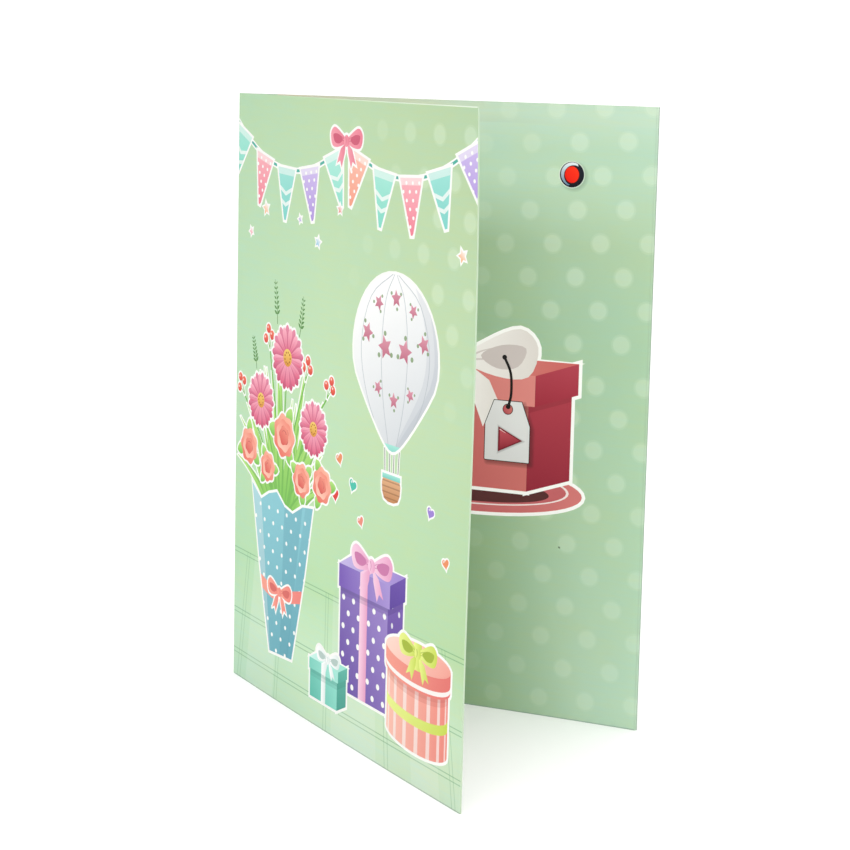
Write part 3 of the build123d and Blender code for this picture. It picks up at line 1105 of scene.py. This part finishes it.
def buildFlatSheet():
    lines = foldLines()
    places, triangles = triangulate(lines + [(field["ring"].tolist(), True) for field in fields])
    ink, kept = inkCorners(places[triangles])
    ink, triangles = ink[kept], triangles[kept]

    paths = {tuple(edge) for triangle in triangles.tolist()
             for edge in zip(triangle, triangle[1:] + triangle[:1])}
    rim = numpy.array([edge for edge in paths if edge[::-1] not in paths])
    plainPlaces, plain = triangulate(lines + [(places[edge], False) for edge in rim])
    middles = plainPlaces[plain].mean(axis=1)
    solid = numpy.logical_and.reduce([inside(field["ring"], middles) != field["hole"]
                                      for field in fields if field["hole"] or field is fields[0]])
    plain = plain[solid]
    front = middles[solid][:, 0] > 0

    half = sheet["thickness"] / 2
    count = len(places)
    levels = numpy.concatenate((numpy.full(count, half), numpy.full(count + len(plainPlaces), -half)))
    verts = numpy.column_stack((numpy.concatenate((places, places, plainPlaces)), levels)) * mm
    walls = numpy.column_stack((rim[:, 0], rim[:, 0] + count, rim[:, 1] + count, rim[:, 1]))
    faces = triangles.tolist() + (plain[:, ::-1] + 2 * count).tolist() + walls.tolist()
    mesh = bpy.data.meshes.new("printed_sheet")
    mesh.from_pydata(verts.tolist(), [], faces)

    plainInk = numpy.where(front[:, None], (*linear(ground["insideFront"]), 1), (*linear(paperWhite), 1))
    colours = numpy.concatenate((ink.reshape(-1, 4), numpy.repeat(plainInk, 3, axis=0),
                                 numpy.ones((4 * len(rim), 4))))
    mesh.color_attributes.new("ink", "FLOAT_COLOR", "CORNER").data.foreach_set("color", colours.ravel())
    faceSides = numpy.repeat(range(len(sides)), (len(triangles), len(plain), len(rim)))
    mesh.polygons.foreach_set("material_index", faceSides)

    welded = bmesh.new()
    welded.from_mesh(mesh)
    bmesh.ops.remove_doubles(welded, verts=welded.verts, dist=sheet["mergeDistance"] * mm)
    bmesh.ops.delete(welded, geom=[v for v in welded.verts if not v.link_faces], context="VERTS")
    openEdges = sum(not edge.is_manifold for edge in welded.edges)
    welded.to_mesh(mesh)
    welded.free()
    print("sheet laid out,", len(mesh.polygons), "faces,", openEdges, "open edges")
    return mesh


# one stretch of the folding path: a run of the sheet turned along an arc

def buildArcStep():
    tree, given, out = newGroup("arcStep", "GeometryNodeTree", (
        *sockets("Float", "Run", "Start", "Length", "Turn", "Heading"), *sockets("Vector", "Place"),
    ), (*sockets("Float", "Heading"), *sockets("Vector", "Place"), *sockets("Float", "End")))
    end = calc(tree, "ADD", given["Start"], given["Length"])
    reached = calc(tree, "MINIMUM", calc(tree, "MAXIMUM", given["Run"], given["Start"]), end)
    along = calc(tree, "SUBTRACT", reached, given["Start"])
    bend = calc(tree, "MULTIPLY", given["Turn"], calc(tree, "DIVIDE", along, given["Length"]))
    halfBend = calc(tree, "MULTIPLY", bend, 0.5)
    diameter = calc(tree, "DIVIDE", calc(tree, "MULTIPLY", given["Length"], 2.0), given["Turn"])
    chord = calc(tree, "MULTIPLY", diameter, calc(tree, "SINE", halfBend))
    aim = calc(tree, "ADD", given["Heading"], halfBend)
    cosine, sine = calc(tree, "COSINE", aim), calc(tree, "SINE", aim)
    way = addNode(tree, "ShaderNodeCombineXYZ", {"X": cosine, "Y": sine})
    shift = addNode(tree, "ShaderNodeVectorMath", {0: way.outputs[0], "Scale": chord}, operation="SCALE")
    place = vectorCalc(tree, "ADD", given["Place"], shift.outputs[0])
    tree.links.new(calc(tree, "ADD", given["Heading"], bend), out["Heading"])
    tree.links.new(place, out["Place"])
    tree.links.new(end, out["End"])
    return tree


# height of the pocket over the sheet: a rounded panel with sloping sides

def buildPocketRise():
    tree, given, out = newGroup("pocketRise", "GeometryNodeTree", sockets(
        "Float", "Across", "Up", "HalfWidth", "HalfHeight", "Corner", "SlopeRun", "Rise",
    ), sockets("Float", "Height"))
    beside = []
    for distance, half in (("Across", "HalfWidth"), ("Up", "HalfHeight")):
        reach = calc(tree, "SUBTRACT", given[half], given["Corner"])
        beside.append(calc(tree, "SUBTRACT", calc(tree, "ABSOLUTE", given[distance]), reach))
    squares = [calc(tree, "POWER", calc(tree, "MAXIMUM", distance, 0.0), 2.0) for distance in beside]
    outer = calc(tree, "SQRT", calc(tree, "ADD", *squares))
    inner = calc(tree, "MINIMUM", calc(tree, "MAXIMUM", *beside), 0.0)
    depth = calc(tree, "SUBTRACT", given["Corner"], calc(tree, "ADD", outer, inner))
    slope = addNode(tree, "ShaderNodeMapRange", {
        "Value": depth, "From Min": 0.0, "From Max": given["SlopeRun"],
        "To Min": 0.0, "To Max": given["Rise"]}, clamp=True)
    tree.links.new(slope.outputs["Result"], out["Height"])
    return tree


# the whole fold: both halves run outwards from the spine, the front one mirrored

def buildFoldTree(lengths):
    tree, given, out = newGroup("foldedSheet", "GeometryNodeTree", (
        *sockets("Geometry", "Geometry"), *sockets("Float", *lengths), *sockets("Material", "CutEdge"),
    ), sockets("Geometry", "Geometry"))
    arcStep, pocketRise = buildArcStep(), buildPocketRise()
    flat = addNode(tree, "ShaderNodeSeparateXYZ",
                   {0: tree.nodes.new("GeometryNodeInputPosition").outputs[0]}).outputs

    def walk(run, stretches):
        heading, place, end = 0.0, (0, 0, 0), 0.0
        for length, turn in stretches:
            step = addGroup(tree, arcStep, {"Run": run, "Start": end, "Length": length, "Turn": turn,
                                            "Heading": heading, "Place": place})
            heading, place, end = step.outputs
        return heading, place

    def foldLength(radius, turn):
        return calc(tree, "ABSOLUTE", calc(tree, "MULTIPLY", given[radius], turn))

    def rightHand(name):
        return calc(tree, "MULTIPLY", given[name], -1.0)

    frontRun = calc(tree, "MAXIMUM", flat["X"], 0.0)
    backRun = calc(tree, "MAXIMUM", calc(tree, "MULTIPLY", flat["X"], -1.0), 0.0)
    front = walk(frontRun, ((foldLength("SpineRadius", given["FrontFold"]), rightHand("FrontFold")),
                            (given["FrontWidth"], rightHand("FrontArc"))))
    back = walk(backRun, ((foldLength("SpineRadius", given["BackFold"]), rightHand("BackFold")),
                          (given["BackWidth"], rightHand("BackArc")),
                          (foldLength("ForeEdgeRadius", -math.pi), -math.pi),
                          (given["FlapWidth"], given["FlapArc"])))

    # the pocket's rise, and the lean of the front cover's free edge
    spineShare = foldLength("SpineRadius", given["BackFold"])
    across = calc(tree, "SUBTRACT", calc(tree, "SUBTRACT", backRun, spineShare), given["PocketFromSpine"])
    level = calc(tree, "SUBTRACT", flat["Y"], given["PocketLevel"])
    shaped = {key: given["Pocket" + key] for key in ("HalfWidth", "HalfHeight", "Corner", "SlopeRun", "Rise")}
    rise = addGroup(tree, pocketRise, {"Across": across, "Up": level, **shaped})
    up = calc(tree, "DIVIDE", flat["Y"], given["Height"])
    upPower, alongPower = sheet["warpPowers"]
    swing = calc(tree, "SINE", calc(tree, "MULTIPLY", up, math.pi))
    wave = calc(tree, "MULTIPLY", calc(tree, "POWER", up, upPower), swing)
    reach = calc(tree, "POWER", calc(tree, "DIVIDE", frontRun, given["FrontWidth"]), alongPower)
    warp = calc(tree, "MULTIPLY", calc(tree, "MULTIPLY", wave, reach), given["FrontWarp"])
    outwards = calc(tree, "ADD", flat["Z"], calc(tree, "SUBTRACT", rise.outputs[0], warp))

    # one of the two walks stays at the spine, so their headings and places can be added
    isFront = calc(tree, "GREATER_THAN", flat["X"], 0.0)
    side = calc(tree, "SUBTRACT", 1.0, calc(tree, "MULTIPLY", isFront, 2.0))
    heading = calc(tree, "ADD", front[0], back[0])
    plan = addNode(tree, "ShaderNodeSeparateXYZ", {0: vectorCalc(tree, "ADD", front[1], back[1])}).outputs
    x = calc(tree, "SUBTRACT", plan["X"], calc(tree, "MULTIPLY", calc(tree, "SINE", heading), outwards))
    y = calc(tree, "ADD", plan["Y"], calc(tree, "MULTIPLY", calc(tree, "COSINE", heading), outwards))
    x = calc(tree, "MULTIPLY", x, side)
    folded = addNode(tree, "ShaderNodeCombineXYZ", {"X": x, "Y": y, "Z": flat["Y"]}).outputs[0]
    bent = addNode(tree, "GeometryNodeSetPosition", {"Geometry": given["Geometry"], "Position": folded})
    real = addNode(tree, "GeometryNodeRealizeInstances", {"Geometry": bent.outputs[0]})
    index = tree.nodes.new("GeometryNodeInputMaterialIndex").outputs[0]
    rimFaces = addNode(tree, "FunctionNodeCompare", {2: index, 3: sides.index("cut")}, data_type="INT",
                       operation="EQUAL")
    finished = addNode(tree, "GeometryNodeSetMaterial", {
        "Geometry": real.outputs[0], "Selection": rimFaces.outputs[0], "Material": given["CutEdge"]})
    tree.links.new(finished.outputs[0], out["Geometry"])
    return tree


def foldSheet(mesh, materials):
    flatSheet = bpy.data.objects.new("printed_sheet", mesh)
    bpy.context.collection.objects.link(flatSheet)
    for material in materials:
        mesh.materials.append(material)
    settings = {
        "SpineRadius": sheet["spineRadius"] * mm, "FrontFold": math.radians(frontFold),
        "FrontWidth": sheet["coverWidth"] * mm, "FrontArc": math.radians(frontArc),
        "BackFold": math.radians(backFold), "BackWidth": sheet["coverWidth"] * mm,
        "BackArc": math.radians(backArc), "ForeEdgeRadius": sheet["foreEdgeRadius"] * mm,
        "FlapWidth": sheet["flapWidth"] * mm, "FlapArc": math.radians(flapArc),
        "FrontWarp": sheet["frontWarp"] * mm, "Height": height * mm,
    }
    for key in ("fromSpine", "level", "halfWidth", "halfHeight", "corner", "slopeRun", "rise"):
        settings["Pocket" + key[0].upper() + key[1:]] = pocket[key] * mm
    fold = flatSheet.modifiers.new("fold", "NODES")
    fold.node_group = buildFoldTree(settings)
    settings["CutEdge"] = materials[sides.index("cut")]
    for socket in fold.node_group.interface.items_tree:
        if socket.in_out == "INPUT" and socket.name in settings:
            fold[socket.identifier] = settings[socket.name]
    folded = bpy.data.meshes.new_from_object(flatSheet.evaluated_get(bpy.context.evaluated_depsgraph_get()))
    flatSheet.modifiers.clear()
    flatSheet.data = folded
    for polygon in folded.polygons:
        polygon.use_smooth = True
    folded.set_sharp_from_angle(angle=math.radians(sheet["smoothAngle"]))
    return flatSheet


# card stock and print: the tone drifts over the sheet, fibres and a soft waviness lift the surface

stock = {
    "patch": 0.022,          # metres across a patch of the wash
    "strokeLength": 0.009,   # the wash lies in level strokes
    "strokeHeight": 0.0009,
    "strokeShare": 0.6,
    "fibre": 0.0005,
    "fibreDepth": 6e-6,
    "wave": 0.045,
    "waveDepth": 1.2e-4,
    "roughnessDrift": 0.08,
    "printed": {"warm": (1.03, 1.0, 0.94), "cool": (0.97, 1.002, 1.045), "roughness": 0.5, "gloss": 0.2},
    "plain": {"warm": (1.0, 0.995, 0.98), "cool": (0.98, 0.99, 1.0), "roughness": 0.62, "gloss": 0.3},
    "cut": {"ink": "bfd2b9", "warm": (1.0, 0.99, 0.95), "cool": (0.96, 1.0, 0.97), "roughness": 0.85,
            "gloss": 0.2},
    "driftFrom": 0.36,  # the noise runs over this range
    "driftTo": 0.64,
}


def scaled(tree, vector, *sizes):
    return vectorCalc(tree, "MULTIPLY", vector, tuple(1 / size for size in sizes))


def noise(tree, vector, detail=2.0):
    inputs = {"Vector": vector, "Scale": 1.0, "Detail": detail}
    return addNode(tree, "ShaderNodeTexNoise", inputs).outputs["Fac"]


def blend(tree, share, low, high, way="MIX"):
    inputs = {0: share, 6: low, 7: high}
    return addNode(tree, "ShaderNodeMix", inputs, data_type="RGBA", blend_type=way).outputs[2]


# the colour multiplied by a tint that drifts between warm and cool

def buildToneDrift():
    tree, given, out = newGroup("toneDrift", "ShaderNodeTree", (
        ("Colour", "NodeSocketColor"), ("Share", "NodeSocketFloat", 1.0), *sockets("Color", "Warm", "Cool"),
        *sockets("Vector", "Spot"),
    ), sockets("Color", "Colour"))
    patches = noise(tree, scaled(tree, given["Spot"], *(stock["patch"],) * 3))
    strokes = noise(tree, scaled(tree, given["Spot"], stock["strokeLength"], stock["strokeLength"],
                                 stock["strokeHeight"]), 3.0)
    drift = calc(tree, "ADD", calc(tree, "MULTIPLY", patches, 1 - stock["strokeShare"]),
                 calc(tree, "MULTIPLY", strokes, stock["strokeShare"]))
    spread = addNode(tree, "ShaderNodeMapRange", {"Value": drift, "From Min": stock["driftFrom"],
                                                  "From Max": stock["driftTo"]})
    tint = blend(tree, spread.outputs[0], given["Warm"], given["Cool"])
    tree.links.new(blend(tree, given["Share"], given["Colour"], tint, "MULTIPLY"), out["Colour"])
    return tree


# relief of the paper in metres, and the fibres as a mask

def buildPaperGrain():
    tree, given, out = newGroup("paperGrain", "ShaderNodeTree", (
        *sockets("Float", "FibreDepth", "WaveDepth"), *sockets("Vector", "Spot"),
    ), sockets("Float", "Height", "Fibres"))
    fibres = noise(tree, scaled(tree, given["Spot"], *(stock["fibre"],) * 3), 3.0)
    waves = noise(tree, scaled(tree, given["Spot"], *(stock["wave"],) * 3), 0.0)
    relief = calc(tree, "ADD", calc(tree, "MULTIPLY", fibres, given["FibreDepth"]),
                  calc(tree, "MULTIPLY", waves, given["WaveDepth"]))
    tree.links.new(relief, out["Height"])
    tree.links.new(fibres, out["Fibres"])
    return tree


toneDrift, paperGrain = buildToneDrift(), buildPaperGrain()


def newMaterial(name, gloss):
    material = bpy.data.materials.new(name)
    material.use_nodes = True
    shader = material.node_tree.nodes["Principled BSDF"]
    shader.inputs["Specular IOR Level"].default_value = gloss
    return material, material.node_tree, shader


def addGrain(tree, shader, spot, roughness, waveDepth):
    grain = addGroup(tree, paperGrain, {"FibreDepth": stock["fibreDepth"], "WaveDepth": waveDepth,
                                        "Spot": spot})
    rough = addNode(tree, "ShaderNodeMapRange", {"Value": grain.outputs["Fibres"],
                                                 "To Min": roughness - stock["roughnessDrift"],
                                                 "To Max": roughness + stock["roughnessDrift"]})
    bump = addNode(tree, "ShaderNodeBump", {"Height": grain.outputs["Height"], "Distance": 1.0})
    setInputs(tree, shader, {"Roughness": rough.outputs[0], "Normal": bump.outputs[0]})


def paper(name, look):
    material, tree, shader = newMaterial(name, look["gloss"])
    spot = tree.nodes.new("ShaderNodeTexCoord").outputs["Object"]
    drift = addGroup(tree, toneDrift, {"Warm": (*look["warm"], 1), "Cool": (*look["cool"], 1), "Spot": spot})
    if "ink" in look:
        drift.inputs["Colour"].default_value = (*linear(look["ink"]), 1)
    else:  # the sheet's own colours, with the wash where the attribute's fourth value says
        ink = addNode(tree, "ShaderNodeAttribute", attribute_name="ink")
        setInputs(tree, drift, {"Colour": ink.outputs["Color"], "Share": ink.outputs["Alpha"]})
    tree.links.new(drift.outputs["Colour"], shader.inputs["Base Color"])
    addGrain(tree, shader, spot, look["roughness"], stock["waveDepth"])
    return material


card = foldSheet(buildFlatSheet(), [paper(f"{side} paper", stock[side]) for side in sides])
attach(card, "root")
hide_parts("folded_card")
print("sheet folded,", len(card.data.polygons), "faces")


# the sealed module: green board with tracks, metal cans, dark switches and chip

module = {
    "boardFront": -0.20,    # levels across the pocket, in millimetres outwards from the back cover
    "boardBack": 0.60,
    "chipLevel": 19.6,      # above the board's middle
    "speakerLevel": -35.95,
    "speakerRings": 3.4,
    "board": "1f6b3c",
    "track": "3d9459",
    "trackPitch": 2.2,
    "trackWidth": 0.35,
    "trackLength": 3,  # times the pitch
    "metal": "c9ccd0",
    "dark": "1d1e20",
    "edgeBlur": 0.02,
    "gloss": 0.5,
    "roughness": 0.38,
    "ringTint": 0.2,
    "warm": (1, 0.96, 0.9, 1),
    "cool": (0.9, 0.96, 1, 1),
}


def backCoverPoint(run):  # place in plan and heading at this distance from the spine
    place, heading = Vector((0, 0)), 0.0
    for length, turn in ((backFoldEnd, backFold), (run, backArc * run / sheet["coverWidth"])):
        half = -math.radians(turn) / 2
        chord = length * math.sin(half) / half
        place += Vector((math.cos(heading + half), math.sin(heading + half))) * chord
        heading += 2 * half
    return place, heading


def edgeMask(tree, value, edge):  # 0 below the edge, 1 above it
    blur = module["edgeBlur"]
    return addNode(tree, "ShaderNodeMapRange", {"Value": value, "From Min": (edge - blur) * mm,
                                                "From Max": (edge + blur) * mm}).outputs[0]


def buildModuleMaterial():
    material, tree, shader = newMaterial("sound module", module["gloss"])
    place, heading = backCoverPoint(pocket["fromSpine"])
    spot = tree.nodes.new("ShaderNodeTexCoord").outputs["Object"]
    onBoard = addNode(tree, "ShaderNodeMapping",
                      {"Vector": spot, "Location": (place.x * mm, place.y * mm, pocket["level"] * mm),
                       "Rotation": (0, 0, heading)}, vector_type="TEXTURE").outputs[0]
    local = addNode(tree, "ShaderNodeSeparateXYZ", {0: onBoard}).outputs
    board, track, metal, dark = ((*linear(module[key]), 1) for key in ("board", "track", "metal", "dark"))

    flat = addNode(tree, "ShaderNodeCombineXYZ", {"X": local["X"], "Y": local["Z"]}).outputs[0]
    tracks = addNode(tree, "ShaderNodeTexBrick", {
        "Vector": flat, "Color1": board, "Color2": board, "Mortar": track, "Scale": 1.0,
        "Mortar Size": module["trackWidth"] * mm / 2, "Row Height": module["trackPitch"] * mm,
        "Brick Width": module["trackPitch"] * module["trackLength"] * mm})
    fromSpeaker = addNode(tree, "ShaderNodeVectorMath", {0: flat, 1: (0, module["speakerLevel"] * mm, 0)},
                          operation="DISTANCE").outputs["Value"]
    rings = calc(tree, "SINE", calc(tree, "MULTIPLY", fromSpeaker, math.tau / (module["speakerRings"] * mm)))
    metal = blend(tree, calc(tree, "MULTIPLY", rings, module["ringTint"]), metal, dark)
    onTop = edgeMask(tree, local["Y"], module["boardBack"])
    below = calc(tree, "SUBTRACT", 1.0, edgeMask(tree, local["Y"], module["boardFront"]))
    chip = edgeMask(tree, local["Z"], module["chipLevel"])

    colour = blend(tree, onTop, tracks.outputs["Color"], blend(tree, chip, metal, dark))
    colour = blend(tree, below, colour, dark)
    drift = addGroup(tree, toneDrift, {"Colour": colour, "Warm": module["warm"], "Cool": module["cool"],
                                       "Spot": spot})
    metallic = calc(tree, "MULTIPLY", onTop, calc(tree, "SUBTRACT", 1.0, chip))
    setInputs(tree, shader, {"Base Color": drift.outputs["Colour"], "Metallic": metallic})
    addGrain(tree, shader, spot, module["roughness"], 0.0)
    return material


def dressModule():
    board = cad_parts["sound_module"]
    material = buildModuleMaterial()
    for slot in board.material_slots:
        slot.material = material
    print("module dressed,", len(board.material_slots), "slots")


dressModule()


# studio: pale floor, soft light, camera

lights = {
    "surroundings": 0.33,
    "backdrop": 1.2,  # what the camera sees behind the card
    "aim": (0, -0.06, 0.08),
    "ceiling": 2.9,  # watts for each square metre
    "ceilingSpread": 70,
    "ceilingFrom": (-0.05, 0.0, 1),
    "floorGlow": 0.06,
    "floorSize": 8,
    "floorColour": (0.95, 0.95, 0.95, 1),
    "floorRoughness": 0.6,
    "softboxes": (  # name, place, side in metres, watts
        ("key", (-1.4, -0.1, 0.9), 1.2, 2.6),
        ("fill", (-0.85, -1.35, 0.28), 0.5, 6.0),
    ),
}


def buildFloor():
    bpy.ops.mesh.primitive_plane_add(size=lights["floorSize"])
    floor = bpy.context.object
    floor.name = "floor"
    material = bpy.data.materials.new("floor")
    material.use_nodes = True
    shader = material.node_tree.nodes["Principled BSDF"]
    setInputs(material.node_tree, shader, {
        "Base Color": lights["floorColour"], "Roughness": lights["floorRoughness"],
        "Emission Color": (1, 1, 1, 1), "Emission Strength": lights["floorGlow"]})
    floor.data.materials.append(material)

def buildLights():
    world = bpy.data.worlds.new("studio")
    bpy.context.scene.world = world
    world.use_nodes = True
    tree = world.node_tree
    seen = tree.nodes.new("ShaderNodeLightPath").outputs["Is Camera Ray"]
    strength = addNode(tree, "ShaderNodeMapRange", {"Value": seen, "To Min": lights["surroundings"],
                                                    "To Max": lights["backdrop"]})
    background = tree.nodes["Background"]
    background.inputs["Color"].default_value = (1, 1, 1, 1)
    tree.links.new(strength.outputs["Result"], background.inputs["Strength"])
    ceiling = bpy.data.lights.new("ceiling", "SUN")
    ceiling.energy = lights["ceiling"]
    ceiling.angle = math.radians(lights["ceilingSpread"])
    overhead = bpy.data.objects.new("ceiling", ceiling)
    overhead.rotation_euler = Vector(lights["ceilingFrom"]).to_track_quat("Z", "Y").to_euler()
    bpy.context.collection.objects.link(overhead)
    for name, place, side, watts in lights["softboxes"]:
        lamp = bpy.data.lights.new(name, "AREA")
        lamp.shape = "SQUARE"
        lamp.size = side
        lamp.energy = watts
        softbox = bpy.data.objects.new(name, lamp)
        softbox.location = place
        softbox.rotation_euler = (Vector(lights["aim"]) - Vector(place)).to_track_quat("-Z", "Y").to_euler()
        bpy.context.collection.objects.link(softbox)


view = {
    "place": (-0.39331, -0.39611, 0.18697),
    "heading": 53.090,
    "pitch": -6.884,
    "roll": 1.602,
    "focalPixels": 1848.4,
    "centrePixel": (506.4, 292.5),
    "imagePixels": 850,
}


def buildCamera():
    heading, pitch, roll = (math.radians(view[key]) for key in ("heading", "pitch", "roll"))
    forward = Vector((math.sin(heading) * math.cos(pitch), math.cos(heading) * math.cos(pitch),
                      math.sin(pitch)))
    level = Vector((math.cos(heading), -math.sin(heading), 0))
    above = level.cross(forward)
    right = math.cos(roll) * level + math.sin(roll) * above
    up = math.cos(roll) * above - math.sin(roll) * level
    lens = bpy.data.cameras.new("camera")
    camera = bpy.data.objects.new("camera", lens)
    turned = Matrix((right, up, -forward)).transposed().to_4x4()
    camera.matrix_world = Matrix.Translation(view["place"]) @ turned
    lens.sensor_fit = "HORIZONTAL"
    lens.lens = view["focalPixels"] / view["imagePixels"] * lens.sensor_width
    lens.shift_x = (view["imagePixels"] / 2 - view["centrePixel"][0]) / view["imagePixels"]
    lens.shift_y = (view["centrePixel"][1] - view["imagePixels"] / 2) / view["imagePixels"]
    bpy.context.collection.objects.link(camera)
    bpy.context.scene.camera = camera


buildFloor()
buildLights()
buildCamera()
bpy.context.scene.view_settings.view_transform = "Standard"
print("studio set")
